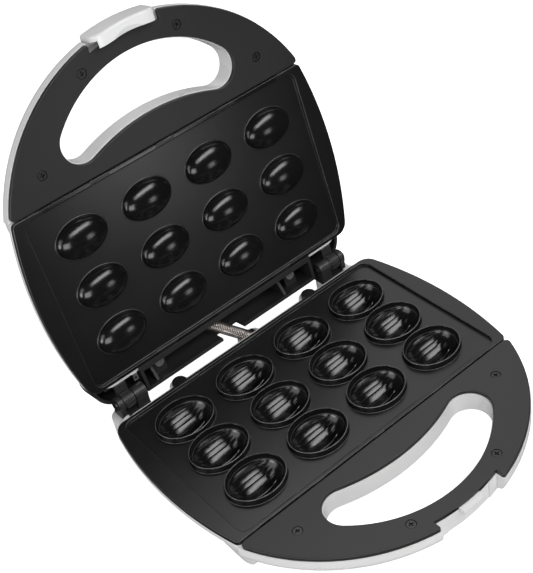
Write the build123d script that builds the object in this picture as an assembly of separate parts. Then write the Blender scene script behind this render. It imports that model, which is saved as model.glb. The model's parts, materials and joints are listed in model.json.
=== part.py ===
from build123d import *
import math
import os

# A twelve-nut biscuit maker with its lid open: white moulded covers with a handle loop on each half,
# black handle frames, black cast plates, a latch on the lid and a coiled conduit over the hinge gap.
# Millimetres. Both halves are drawn closed, about the parting plane at height 0, with +Y towards the hinge.
# The lid is then turned open, and everything is set down on the counter by place().

# Whole object
LID_OPEN_DEG = 102.0
PARTING_HEIGHT = 46.0
SHIFT_Y = 33.59
HINGE_Y = 42.0
HINGE_Z = 0.2

# Nuts
NUT_PITCH_X = 48.0
NUT_PITCH_Y = 34.9
NUT_COLUMNS = 4
NUT_ROWS = 3
CUP_HALF_LENGTH = 18.8
CUP_HALF_WIDTH = 15.5
CUP_DEPTH = 12.0
CUP_WALL = 2.2
CREST_WIDTH = 0.8
BOSS_SPREAD = 1.6
BOSS_HEIGHT = 4.0
DOME_HALF_LENGTH = 17.6
DOME_HALF_WIDTH = 12.4
DOME_HEIGHT = 8.5
DOME_WALL = 2.4

# Plates
PLATE_BACK = 27.8
PLATE_FRONT = -98.2
PLATE_BACK_HALF = 106.8
PLATE_MID_HALF = 115.5
PLATE_FRONT_HALF = 108.2
PLATE_MID_Y = -39.0
PLATE_EDGE = 3.0
PLATE_BACK_CORNER = 9.0
PLATE_FRONT_CORNER = 3.5
FIELD_HALF = 102.4
FIELD_BACK = 25.2
FIELD_FRONT = -95.4
FIELD_CORNER = 6.0
LOWER_FIELD_DROP = 2.2
UPPER_FIELD_DROP = 1.9
PAN_WALL = 2.5
LUG_X = 55.0
LUG_RADIUS = 5.0
LUG_REACH = 1.5
STUD_RADIUS = 3.8
LID_GAP = 0.4
RIM_ROUND = 0.6
CUP_ROUND = 0.3
DOME_ROUND = 0.8

# Handle loop, its frame and its finger opening
LOOP_CENTRE_Y = -58.0
LOOP_RADIUS = 116.9
LOOP_DEPTH = 15.5
LOOP_ROUND = 8.5
FRAME_BACK = -99.0
FRAME_THICKNESS = 2.5
FRAME_INSET = 0.5
FRAME_CORNER = 3.0
SCREW_RECESS = 3.1
SCREW_HEAD = 2.75
GRIP_CENTRE_Y = -75.9
GRIP_OUTER_RADIUS = 81.6
GRIP_END_X = 49.8
GRIP_END_RADIUS = 13.5
WAIST_CENTRE_Y = 7.6
FRAME_SCREWS = ((-79.7, -115.8), (-34.0, -157.8), (34.0, -157.8), (79.7, -115.8))

# Covers
WALL = 2.2
BODY_HALF = 103.5
BODY_BACK = 31.0
BODY_FRONT = -101.0
BODY_DEPTH = 39.0
BODY_CORNER = 14.0
BODY_ROUND = 13.0
BODY_FRONT_ROUND = 25.0
FLANGE_DEPTH = 6.4
FLANGE_OVER = 0.1
SHOULDER = (92.0, 100.5)
SHOULDER_BACK = 36.4
SHOULDER_TOP = -5.0
SHOULDER_ROUND = 2.5
LUG_BOSS_RADIUS = 7.5
LUG_BOSS_BACK = 36.0
LUG_BOSS_BOTTOM = -12.0
REAR_HALF = 72.0
REAR_BACK = 47.0
REAR_DEPTH = 35.0
SHROUD_HALF = 104.0
SHROUD_CORNER = 17.0
SHROUD_ROUND = 10.0
SHROUD_FRONT = 24.5
HINGE_BAY_TOP = 9.0
EARTH_TAB = (-77.2, -73.7)
EARTH_SHEET = 0.8
EARTH_BOTTOM = 2.6
EARTH_TOP = 10.0
EARTH_REACH = 4.8
EARTH_HOLE_Y = 3.0
EARTH_HOLE_RADIUS = 0.8
GUSSETS_X = (-62.0, 46.0)
REAR_BOSSES_X = (-55.0, 57.0)
REAR_BOSS_Y = 37.0
REAR_TAB_TOP = 11.5

# Latch
NOTCH_HALF = 24.5
NOTCH_RADIUS = 110.4
NOTCH_FLARE = 1.5
CHEEK_REACH = 0.5
CHEEK_INSIDE = 16.5
CATCH_HALF = 8.0
CATCH_RADIUS = 114.6
CATCH_TOP = -1.2
CATCH_BOTTOM = -3.3
LATCH_HALF = 22.5
LATCH_INNER = 115.7
LATCH_OUTER = 118.9
LATCH_TOP = 13.0
LATCH_BOTTOM = -6.4
LATCH_CORNER = 9.0
LATCH_TOP_CORNER = 2.0
LATCH_ROUND = 1.6
HOOK_TIP = 111.3
HOOK_THICKNESS = 2.6
SCOOP_RADIUS = 35.4
SCOOP_RIM = 16.0
SCOOP_REACH = 3.2
LATCH_PIN_Y = -169.9
LATCH_PIN_Z = 9.6
LATCH_PIN_RADIUS = 1.2
PIN_END = 26.2
POCKET_RADIUS = 108.4
POCKET_DEPTH = 14.0

# Hinges
PIN_RADIUS = 2.2
RUNNING_GAP = 0.05
EAR_RADIUS = 5.2
INNER_EAR = (74.5, 83.0)
OUTER_EAR = (92.0, 95.6)
KNUCKLE = (83.5, 91.5)
KNUCKLE_RADIUS = 5.0
KNUCKLE_RIBS = 16
KNUCKLE_SCREWS_X = (80.8, 93.4)
BRACKET_FRONT = 36.8
BRACKET_BACK = 48.5
KNUCKLE_PLATE = (78.0, 96.5)
KNUCKLE_PLATE_FOOT = 7.5
KNUCKLE_PLATE_TOP = 20.0
KNUCKLE_SCREW_Z = 14.0
PIN_HEAD_RADIUS = 3.4
PIN_HEAD = 1.4
POD = (74.0, 100.5)
POD_FRONT = 20.0
POD_BACK = 50.0
POD_TOP = -10.5
POD_BOTTOM = -30.0
POD_CORNER = 7.0

# Conduit between the halves, a close-wound coil over the wires
COIL_START = Vector(9.4, 40.0, -13.9)
COIL_END = Vector(-18.0, 55.0, 10.6)
COIL_RADIUS = 3.6
COIL_WIRE = 0.8
COIL_PITCH = 1.3
BUSH_RADIUS = 5.4
BUSH_LENGTH = 4.5
CONDUIT_HOLE = 4.8
CONDUIT_POD_X = (1.0, 19.0)
CONDUIT_POD_BACK = 47.5
CONDUIT_POD_TOP = -15.0
CONDUIT_POD_CORNER = 6.0
WIRE_RADIUS = 1.05
WIRE_CIRCLE = 1.35

FOOT_PLACES = ((-80.0, -65.0), (80.0, -65.0), (-87.0, 37.0), (87.0, 37.0))
LEG = (76.5, 99.0)
LEG_CORNER = 7.0
FOOT_RADIUS = 9.0
FOOT_TOP = 1.5

GLAND_X = 55.0
GLAND_Z = -19.0
GLAND_RADIUS = 5.0
LAMP_X = 11.0
LAMP_Y = -66.0
LENS_RADIUS = 4.0

STUDS = [(x, y) for x in (-48.0, 48.0) for y in (-17.5, -52.5)]
REFLECTOR_LEVEL = 19.4
REFLECTOR_SHEET = 0.8
ELEMENT_LEVEL = 16.0
ELEMENT_RADIUS = 3.2
ELEMENT_HALF = 86.0
ELEMENT_FRONT = -84.0
ELEMENT_BACK = 12.0
ELEMENT_END = 14.0
ELEMENT_BEND = 16.0
REFLECTOR_Y = -39.0
REFLECTOR_X_SIZE = 194.0
REFLECTOR_Y_SIZE = 114.0
REFLECTOR_CORNER = 12.0
REFLECTOR_RIM = 7.0


def level_box(x0, x1, y0, y1, z0, z1):
    """A box given by its limits."""
    centre = Pos((x0 + x1) / 2, (y0 + y1) / 2, (z0 + z1) / 2)
    return centre * Box(x1 - x0, y1 - y0, z1 - z0)


def post(x, y, z0, z1, radius):
    """An upright cylinder given by its two levels."""
    return Pos(x, y, (z0 + z1) / 2) * Cylinder(radius, z1 - z0)


def bar_x(x0, x1, y, z, radius):
    """A cylinder along X."""
    return Pos((x0 + x1) / 2, y, z) * Rot(0, 90, 0) * Cylinder(radius, x1 - x0)


def span(side, limits):
    """Limits across X of a piece on one side, from those of its twin at positive X."""
    return sorted((side * limits[0], side * limits[1]))


def prism(face, z0, z1):
    """A flat face drawn at height 0, extruded from z0 to z1."""
    return Pos(0, 0, z0) * extrude(face, z1 - z0)


def flip(shape):
    """The lower half's shape turned into the lid's, across the parting plane."""
    return mirror(shape, about=Plane.XY)


def place(shape):
    """Set a piece of the base down on the counter."""
    return Pos(0, SHIFT_Y, PARTING_HEIGHT) * shape


def open_lid(shape):
    """Turn a piece of the closed lid open about the hinge axis, then set it down."""
    turn = Pos(0, HINGE_Y, HINGE_Z) * Rot(-LID_OPEN_DEG, 0, 0) * Pos(0, -HINGE_Y, -HINGE_Z)
    return place(turn * shape)


def close_lid(shape):
    """Turn a piece that stands where the open lid has it back to where the closed lid has it."""
    turn = Pos(0, HINGE_Y, HINGE_Z) * Rot(LID_OPEN_DEG, 0, 0) * Pos(0, -HINGE_Y, -HINGE_Z)
    return turn * shape


def plate_outline():
    """The plate from above: straight back and front, bowed sides, rounded corners."""
    back_left = (-PLATE_BACK_HALF, PLATE_BACK)
    back_right = (PLATE_BACK_HALF, PLATE_BACK)
    front_left = (-PLATE_FRONT_HALF, PLATE_FRONT)
    front_right = (PLATE_FRONT_HALF, PLATE_FRONT)
    edges = [
        Line(front_left, front_right),
        ThreePointArc(front_right, (PLATE_MID_HALF, PLATE_MID_Y), back_right),
        Line(back_right, back_left),
        ThreePointArc(back_left, (-PLATE_MID_HALF, PLATE_MID_Y), front_left),
    ]
    face = make_face(edges)
    face = fillet(face.vertices().group_by(Axis.Y)[-1], PLATE_BACK_CORNER)
    return fillet(face.vertices().group_by(Axis.Y)[0], PLATE_FRONT_CORNER)


def field_outline(grow=0.0):
    """The recessed rectangle that holds the nuts."""
    middle = Pos(0, (FIELD_BACK + FIELD_FRONT) / 2)
    depth = FIELD_BACK - FIELD_FRONT + 2 * grow
    return middle * RectangleRounded(2 * (FIELD_HALF + grow), depth, FIELD_CORNER + grow)


def loop_outline(radius, back=FRAME_BACK):
    """The half-round end of a half, behind which the plate begins."""
    disc = Pos(0, LOOP_CENTRE_Y) * Circle(radius)
    return disc & (Pos(0, back - 100) * Rectangle(300, 200))


def grip_opening(grow=0.0):
    """The banana-shaped finger opening: two long arcs with round ends tangent to both."""
    end_y = GRIP_CENTRE_Y - math.sqrt((GRIP_OUTER_RADIUS - GRIP_END_RADIUS) ** 2 - GRIP_END_X**2)
    end = Vector(GRIP_END_X, end_y)
    outer_centre = Vector(0, GRIP_CENTRE_Y)
    waist_centre = Vector(0, WAIST_CENTRE_Y)
    waist_radius = (end - waist_centre).length - GRIP_END_RADIUS - grow
    to_end = (end - outer_centre).normalized()
    from_waist = (end - waist_centre).normalized()
    low = outer_centre + to_end * (GRIP_OUTER_RADIUS + grow)
    high = waist_centre + from_waist * waist_radius
    tip = end + Vector(GRIP_END_RADIUS + grow, 0)
    waist = (0, WAIST_CENTRE_Y - waist_radius)
    bottom = (0, GRIP_CENTRE_Y - GRIP_OUTER_RADIUS - grow)
    edges = [
        ThreePointArc((-high.X, high.Y), waist, (high.X, high.Y)),
        ThreePointArc((high.X, high.Y), (tip.X, tip.Y), (low.X, low.Y)),
        ThreePointArc((low.X, low.Y), bottom, (-low.X, low.Y)),
        ThreePointArc((-low.X, low.Y), (-tip.X, tip.Y), (-high.X, high.Y)),
    ]
    return make_face(edges)


def rim_band(inner, outer, half):
    """A piece of ring at the front of the handle loop, between two radii and two planes across X."""
    ring = Circle(outer) - Circle(inner)
    return (Pos(0, LOOP_CENTRE_Y) * ring) & (Pos(0, -200) * Rectangle(2 * half, 150))


def nut_places():
    """Centres of the nuts; the row nearest the hinge is at y 0."""
    middle = (NUT_COLUMNS - 1) / 2
    columns = [(column - middle) * NUT_PITCH_X for column in range(NUT_COLUMNS)]
    return [(x, -row * NUT_PITCH_Y) for x in columns for row in range(NUT_ROWS)]


def nut_edges(body, level):
    """The edges round the nuts where they rise from the field, which lies at the given height."""
    around = [edge for edge in body.edges() if abs(edge.center().Z - level) < 0.01]
    return [edge for edge in around if edge.bounding_box().size.X < NUT_PITCH_X]


def half_ellipsoid(half_length, half_width, depth):
    """The lower half of an ellipsoid, its flat face at height 0."""
    ball = Sphere(1.0) & (Pos(0, 0, -1) * Box(4, 4, 2))
    return scale(ball, by=(half_length, half_width, depth))


def lower_plate():
    """Cast plate with a recessed field and twelve raised cups."""
    floor = -LOWER_FIELD_DROP
    crest = floor + BOSS_HEIGHT
    outline = plate_outline()
    for side in (-1, 1):
        outline += Pos(side * LUG_X, PLATE_BACK + LUG_REACH) * Circle(LUG_RADIUS)
    body = prism(outline, -PLATE_EDGE, 0)
    body += prism(field_outline(2.0), floor - PAN_WALL, -PLATE_EDGE)
    body -= prism(field_outline(), floor, 1.0)
    top = Ellipse(CUP_HALF_LENGTH + CREST_WIDTH, CUP_HALF_WIDTH + CREST_WIDTH)
    foot = Ellipse(CUP_HALF_LENGTH + BOSS_SPREAD, CUP_HALF_WIDTH + BOSS_SPREAD)
    boss = loft([Pos(0, 0, floor - 1) * foot, Pos(0, 0, crest) * top], ruled=True)
    back = half_ellipsoid(CUP_HALF_LENGTH + CUP_WALL, CUP_HALF_WIDTH + CUP_WALL, CUP_DEPTH + CUP_WALL)
    back &= Pos(0, 0, -26.0 - (crest - floor)) * Box(60, 60, 50)
    cavity = half_ellipsoid(CUP_HALF_LENGTH, CUP_HALF_WIDTH, CUP_DEPTH)
    body += [Pos(x, y, 0) * boss for x, y in nut_places()]
    body += [Pos(x, y, crest) * back for x, y in nut_places()]
    body -= [Pos(x, y, crest) * cavity for x, y in nut_places()]
    rim = [edge for edge in body.edges() if abs(edge.center().Z) < 0.01]
    body = fillet(rim, RIM_ROUND)
    ridges = [edge for edge in body.edges() if abs(edge.center().Z - crest) < 0.01]
    body = fillet(ridges, CUP_ROUND)
    body = fillet(nut_edges(body, floor), CUP_ROUND)
    body += [post(x, y, -REFLECTOR_LEVEL, floor - 1, STUD_RADIUS) for x, y in STUDS]
    body -= [post(x, y, -REFLECTOR_LEVEL, floor - 5, 1.3) for x, y in STUDS]
    return body


def upper_plate():
    """Cast plate with twelve smooth domes that fill the cups when the lid is shut."""
    floor = LID_GAP + UPPER_FIELD_DROP
    body = prism(plate_outline(), LID_GAP, LID_GAP + PLATE_EDGE)
    body += prism(field_outline(2.0), LID_GAP + PLATE_EDGE, floor + PAN_WALL)
    body -= prism(field_outline(), -1.0, floor)
    dome = half_ellipsoid(DOME_HALF_LENGTH, DOME_HALF_WIDTH, DOME_HEIGHT)
    hollow = half_ellipsoid(
        DOME_HALF_LENGTH - DOME_WALL, DOME_HALF_WIDTH - DOME_WALL, DOME_HEIGHT - DOME_WALL
    )
    skirt = extrude(Ellipse(DOME_HALF_LENGTH - DOME_WALL, DOME_HALF_WIDTH - DOME_WALL), 5.0)
    rim = [edge for edge in body.edges() if abs(edge.center().Z - LID_GAP) < 0.01]
    body = fillet(rim, RIM_ROUND)
    body += [Pos(x, y, floor) * dome for x, y in nut_places()]
    body = fillet(nut_edges(body, floor), DOME_ROUND)
    body -= [Pos(x, y, floor) * skirt for x, y in nut_places()]
    body -= [Pos(x, y, floor) * hollow for x, y in nut_places()]
    body += [post(x, y, floor + 1, REFLECTOR_LEVEL, STUD_RADIUS) for x, y in STUDS]
    body -= [post(x, y, floor + 5, REFLECTOR_LEVEL, 1.3) for x, y in STUDS]
    return body


def handle_frame():
    """Flat frame that closes the handle loop, drawn for the base with its face at height 0."""
    face = loop_outline(LOOP_RADIUS - FRAME_INSET)
    face = fillet(face.vertices().group_by(Axis.Y)[-1], FRAME_CORNER)
    face -= grip_opening()
    face -= rim_band(NOTCH_RADIUS, LOOP_RADIUS + 10, NOTCH_HALF)
    corners = [corner for corner in face.vertices() if abs(abs(corner.X) - NOTCH_HALF) < 0.01]
    face = fillet(sorted(corners, key=lambda corner: corner.Y)[:2], NOTCH_FLARE)
    body = prism(face, -FRAME_THICKNESS, 0)
    top_rim = [edge for edge in body.edges() if edge.center().Z > -0.01 and edge.length > 60]
    body = fillet(top_rim, 0.7)
    for x, y in FRAME_SCREWS:
        body -= post(x, y, -1.9, 1, SCREW_RECESS)
        body -= post(x, y, -FRAME_THICKNESS - 1, 0, 1.8)
    return body


def phillips_screw(x, y, head_top, length, head_radius=3.1, shank_radius=1.4, head=1.7):
    """A pan-head cross-recess screw standing head up."""
    body = post(x, y, head_top - head, head_top, head_radius)
    body += post(x, y, head_top - head - length, head_top - head, shank_radius)
    slot = Box(head_radius * 1.15, 0.8, 2.0)
    cross = Pos(x, y, head_top) * (slot + Rot(0, 0, 90) * slot)
    return body - cross


def frame_screws():
    """Four screws that hold a handle frame to its cover."""
    return [phillips_screw(x, y, -0.35, 8.0, head_radius=SCREW_HEAD, head=1.5) for x, y in FRAME_SCREWS]


def front_corner(radius):
    """What the large round along the body's front edge takes off a block, inside or outside."""
    centre_y = BODY_FRONT + BODY_FRONT_ROUND
    centre_z = BODY_FRONT_ROUND - BODY_DEPTH
    corner = level_box(-150, 150, BODY_FRONT - 1, centre_y, -BODY_DEPTH - 1, centre_z)
    return corner - bar_x(-151, 151, centre_y, centre_z, radius)


def cover_core():
    """What both covers share, drawn for the base: box body, flange under the plate's rim, handle loop."""
    middle = Pos(0, (BODY_BACK + BODY_FRONT) / 2)
    size_y = BODY_BACK - BODY_FRONT
    box = prism(middle * RectangleRounded(2 * BODY_HALF, size_y, BODY_CORNER), -BODY_DEPTH, -PLATE_EDGE)
    box = fillet(box.edges().group_by(Axis.Z)[0], BODY_ROUND)
    box -= front_corner(BODY_FRONT_ROUND)
    inner_face = middle * RectangleRounded(2 * (BODY_HALF - WALL), size_y - 2 * WALL, BODY_CORNER - WALL)
    inner = prism(inner_face, -BODY_DEPTH + WALL, 0)
    inner = fillet(inner.edges().group_by(Axis.Z)[0], BODY_ROUND - WALL)
    inner -= front_corner(BODY_FRONT_ROUND - WALL)

    flange = prism(offset(plate_outline(), FLANGE_OVER), -FLANGE_DEPTH, -PLATE_EDGE)
    flange &= level_box(-150, 150, FRAME_BACK + 0.6, 60, -20, 0)

    loop = prism(loop_outline(LOOP_RADIUS), -LOOP_DEPTH, -FRAME_THICKNESS)
    loop = fillet(loop.edges().group_by(Axis.Z)[0].sort_by(SortBy.LENGTH)[-1], LOOP_ROUND)
    channel = prism(loop_outline(LOOP_RADIUS - WALL, BODY_FRONT - 1), -LOOP_DEPTH + WALL, 0)
    channel = fillet(channel.edges().group_by(Axis.Z)[0].sort_by(SortBy.LENGTH)[-1], LOOP_ROUND - WALL)
    channel -= prism(grip_opening(WALL), -50, 10)
    channel -= prism(rim_band(POCKET_RADIUS - WALL, LOOP_RADIUS + 10, NOTCH_HALF + WALL), -50, 10)
    for x, y in FRAME_SCREWS:
        channel -= post(x, y, -50, 10, 4.0)

    shell = box + flange + loop
    shell -= inner
    shell -= prism(field_outline(2.3), -LOWER_FIELD_DROP - PAN_WALL, 0)
    shell -= channel
    shell -= prism(grip_opening(-0.7), -50, 10)
    for x, y in FRAME_SCREWS:
        shell -= post(x, y, -LOOP_DEPTH + 3, 0, 1.4)
    return shell


def lower_cover(core):
    """Base cover: the shared shell with hinge pods, a conduit pod, screw posts, foot seats and the catch."""
    shell = core
    for side in (-1, 1):
        x0, x1 = span(side, POD)
        pod = level_box(x0, x1, POD_FRONT, POD_BACK, POD_BOTTOM, POD_TOP)
        pod = fillet(pod.edges().filter_by(Axis.Z).group_by(Axis.Y)[-1], POD_CORNER)
        pod -= level_box(x0, x1, 10.0, BODY_BACK - WALL, -40, 0)
        l0, l1 = span(side, LEG)
        leg = level_box(l0, l1, 10.0, POD_BACK - 1.5, -BODY_DEPTH, POD_TOP - 3)
        leg = fillet(leg.edges().filter_by(Axis.Z).group_by(Axis.Y)[-1], LEG_CORNER)
        leg -= level_box(l0, l1, 0.0, BODY_BACK - WALL, -BODY_DEPTH - 1, 0)
        s0, s1 = span(side, SHOULDER)
        shoulder = level_box(s0, s1, 18.0, SHOULDER_BACK, -20.0, SHOULDER_TOP)
        uprights = shoulder.edges().filter_by(Axis.Z).group_by(Axis.Y)[-1].sort_by(Axis.X)
        shoulder = fillet(uprights[-1 if side > 0 else 0], POD_CORNER)
        shoulder = fillet(shoulder.edges().group_by(Axis.Z)[-1], SHOULDER_ROUND)
        shoulder -= level_box(s0, s1, 10.0, BODY_BACK - WALL, -40, 0)
        boss_y = LUG_BOSS_BACK - LUG_BOSS_RADIUS
        boss = post(side * LUG_X, boss_y, LUG_BOSS_BOTTOM, -PLATE_EDGE - 0.2, LUG_BOSS_RADIUS)
        boss &= level_box(-150, 150, BODY_BACK - 0.5, 60, -20, 0)
        h0, h1 = span(side, (LEG[0] + WALL, LEG[1] - WALL))
        hollow = level_box(h0, h1, BODY_BACK - 8, POD_BACK - 1.5 - WALL, -BODY_DEPTH + WALL, POD_TOP - 4)
        shell += pod + leg + shoulder + boss
        shell -= hollow
    conduit_pod = level_box(*CONDUIT_POD_X, BODY_BACK - 1, CONDUIT_POD_BACK, POD_BOTTOM, CONDUIT_POD_TOP)
    conduit_pod = fillet(conduit_pod.edges().filter_by(Axis.Z).group_by(Axis.Y)[-1], CONDUIT_POD_CORNER)
    shell += conduit_pod
    shell -= coil_cylinder(COIL_START, -BUSH_LENGTH, 0.4, BUSH_RADIUS)
    shell -= coil_cylinder(COIL_START, 0.0, 12.0, CONDUIT_HOLE)
    shell -= level_box(4.0, 14.0, BODY_BACK - 5, 38.0, -28.0, -19.0)
    for x, y in STUDS:
        shell += post(x, y, -BODY_DEPTH + 1, -REFLECTOR_LEVEL - REFLECTOR_SHEET - 2.2, 5.0)
        shell -= post(x, y, -BODY_DEPTH - 1, -BODY_DEPTH + 6, 3.6)
        shell -= post(x, y, -BODY_DEPTH - 1, 0, 1.8)
    for x, y in FOOT_PLACES:
        shell -= post(x, y, -BODY_DEPTH - 1, -BODY_DEPTH + FOOT_TOP, FOOT_RADIUS)
        shell += post(x, y, -BODY_DEPTH + FOOT_TOP, -BODY_DEPTH + 8, FOOT_RADIUS + 1)
        shell -= post(x, y, -BODY_DEPTH, -BODY_DEPTH + 6, 1.3)
    shell -= prism(rim_band(NOTCH_RADIUS, LOOP_RADIUS + 10, NOTCH_HALF), -LOOP_DEPTH - 1, 1)
    between_cheeks = Pos(0, -LOOP_RADIUS + LOOP_CENTRE_Y) * Rectangle(2 * CHEEK_INSIDE, 60)
    cheeks = rim_band(NOTCH_RADIUS - 0.5, NOTCH_RADIUS + CHEEK_REACH, NOTCH_HALF) - between_cheeks
    shell += prism(cheeks, -LOOP_DEPTH, -FRAME_THICKNESS)
    shell += prism(rim_band(NOTCH_RADIUS - 1, CATCH_RADIUS, CATCH_HALF), CATCH_BOTTOM, -FRAME_THICKNESS)
    shell += prism(rim_band(NOTCH_RADIUS + 0.1, CATCH_RADIUS, CATCH_HALF), CATCH_BOTTOM, CATCH_TOP)
    shell -= Pos(GLAND_X, BODY_BACK, GLAND_Z) * Rot(90, 0, 0) * Cylinder(GLAND_RADIUS, 12)
    return shell


def cord_gland():
    """Bush at the back of the base where the mains cord would enter."""
    turn = Rot(90, 0, 0)
    bush = Pos(GLAND_X, BODY_BACK - WALL / 2, GLAND_Z) * turn * Cylinder(GLAND_RADIUS, WALL)
    bush += Pos(GLAND_X, BODY_BACK + 3.0, GLAND_Z) * turn * Cylinder(GLAND_RADIUS + 1.6, 6.0)
    bush += Pos(GLAND_X, BODY_BACK - WALL - 1.0, GLAND_Z) * turn * Cylinder(GLAND_RADIUS + 1.6, 2.0)
    return bush - Pos(GLAND_X, BODY_BACK, GLAND_Z) * turn * Cylinder(3.1, 30)


def upper_cover(core):
    """Lid cover: the shared shell with posts for the shroud, lamp holes and the latch seat."""
    shell = flip(core)
    shell = Pos(0, 0, LID_GAP) * shell
    shell -= close_lid(coil_cylinder(COIL_END, 0.0, BUSH_LENGTH, BUSH_RADIUS))
    shell -= close_lid(coil_cylinder(COIL_END, -12.0, 0.0, CONDUIT_HOLE))
    for side in (-1, 1):
        for x in KNUCKLE_SCREWS_X:
            screw_seat = Pos(side * x, BODY_BACK - WALL - 2.5, KNUCKLE_SCREW_Z) * Rot(90, 0, 0)
            shell += screw_seat * Cylinder(3.4, 5.0)
            shell -= Pos(side * x, BODY_BACK, KNUCKLE_SCREW_Z) * Rot(90, 0, 0) * Cylinder(1.4, 14.6)
    for x in REAR_BOSSES_X:
        shell += post(x, REAR_BOSS_Y, REAR_TAB_TOP + 0.1, 30.0, 3.6)
        shell += level_box(x - 1.2, x + 1.2, BODY_BACK - 1, REAR_BOSS_Y, REAR_TAB_TOP + 0.1, 30.0)
        shell -= post(x, REAR_BOSS_Y, 8.0, 26.0, 1.4)
    for x, y in STUDS:
        shell += post(x, y, REFLECTOR_LEVEL + REFLECTOR_SHEET + 2.6, BODY_DEPTH - 1, 5.0)
        shell -= post(x, y, 0, BODY_DEPTH - 4, 1.4)
    shell -= prism(rim_band(POCKET_RADIUS, LOOP_RADIUS + 10, NOTCH_HALF), -1, POCKET_DEPTH)
    shell -= bar_x(-PIN_END, PIN_END, LATCH_PIN_Y, LATCH_PIN_Z, LATCH_PIN_RADIUS)
    for side in (-1, 1):
        shell -= post(side * LAMP_X, LAMP_Y, 20, 60, LENS_RADIUS)
    return shell


def rear_shroud():
    """Black box across the lid's back, open below, that hides the conduit and the hinges' plates."""
    outer = level_box(-SHROUD_HALF, SHROUD_HALF, 0, REAR_BACK, 0.6, REAR_DEPTH)
    outer = fillet(outer.edges().filter_by(Axis.Z).group_by(Axis.Y)[-1], SHROUD_CORNER)
    outer = fillet(outer.edges().group_by(Axis.Z)[-1].group_by(Axis.Y)[-1], SHROUD_ROUND)
    wall_half = SHROUD_HALF - WALL
    inside = level_box(-wall_half, wall_half, -10, REAR_BACK - WALL, -2, REAR_DEPTH - WALL)
    inside = fillet(inside.edges().filter_by(Axis.Z).group_by(Axis.Y)[-1], SHROUD_CORNER - WALL)
    inside = fillet(inside.edges().group_by(Axis.Z)[-1].group_by(Axis.Y)[-1], SHROUD_ROUND - WALL)
    body = outer - inside
    for side in (-1, 1):
        p0, p1 = span(side, (REAR_HALF - WALL, REAR_HALF))
        body += outer & level_box(p0, p1, BODY_BACK - 1, 60, 0, 50)
        b0, b1 = span(side, (REAR_HALF, SHROUD_HALF + 1))
        body -= level_box(b0, b1, -10, 60, -2, HINGE_BAY_TOP)
    middle = Pos(0, (BODY_BACK + BODY_FRONT) / 2)
    cover_face = middle * RectangleRounded(2 * BODY_HALF, BODY_BACK - BODY_FRONT, BODY_CORNER)
    body -= prism(offset(cover_face, FLANGE_OVER), -1, 60)
    body &= level_box(-150, 150, SHROUD_FRONT, 60, 0, 50)
    body += level_box(-REAR_HALF, REAR_HALF, PLATE_BACK + 0.3, BODY_BACK + 1.0, 0.6, PLATE_EDGE + 0.3)
    for x in GUSSETS_X:
        rib = make_face(
            Polyline((31.2, 9.0), (45.5, 2.0), (45.5, 33.5), (31.2, 33.5), close=True)
        )
        body += Pos(x - 1.0, 0, 0) * (Plane.YZ * extrude(rib, 2.0))
    for x in REAR_BOSSES_X:
        tab = level_box(x - 4.5, x + 4.5, REAR_BOSS_Y - 4.5, REAR_BACK - 1, REAR_TAB_TOP - 2.5, REAR_TAB_TOP)
        body += tab
        body -= post(x, REAR_BOSS_Y, 0, 20, 1.8)
    body -= level_box(-10.0, 8.0, REAR_BACK - 2 * WALL, 60, -2, 11.0)
    body -= close_lid(coil_cylinder(COIL_END, -12.0, 12.0, CONDUIT_HOLE))
    return body


def lamp_lens(side):
    """Domed lens of one indicator lamp in the lid's top, with a lip inside."""
    top = BODY_DEPTH + LID_GAP
    body = post(side * LAMP_X, LAMP_Y, top - WALL, top + 0.4, LENS_RADIUS - 0.1)
    body += post(side * LAMP_X, LAMP_Y, top - WALL - 1.2, top - WALL, LENS_RADIUS + 1.4)
    cap = Sphere(6.0) & (Pos(0, 0, 6) * Box(20, 20, 3.2))
    cap = Pos(side * LAMP_X, LAMP_Y, top + 0.4 - 4.4) * cap
    return body + cap


def lamp_bulb(side):
    """Small neon lamp with its two leads inside one bulb."""
    x = side * LAMP_X
    top = BODY_DEPTH + LID_GAP - WALL - 2.0
    body = post(x, LAMP_Y, top - 9.0, top - 2.4, 2.4)
    return body + Pos(x, LAMP_Y, top - 2.4) * Sphere(2.4)


def lamp_holder():
    """Bracket that carries both lamps under their lenses."""
    top = BODY_DEPTH + LID_GAP - WALL - 2.0
    body = level_box(-20, 20, LAMP_Y - 6, LAMP_Y + 6, top - 10.4, top - 8.4)
    for side in (-1, 1):
        body += level_box(side * 19 - 1, side * 19 + 1, LAMP_Y - 6, LAMP_Y + 6, top - 8.4, top + 2.0)
        body -= post(side * LAMP_X, LAMP_Y, top - 20, top, 2.4)
    return body


def on_latch_face(edge):
    """Whether an edge lies on the latch's bowed outer face."""
    reach = [math.hypot(at.X, at.Y - LOOP_CENTRE_Y) for at in (edge @ 0, edge @ 0.5, edge @ 1)]
    return all(abs(radius - LATCH_OUTER) < 0.01 for radius in reach)


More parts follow.
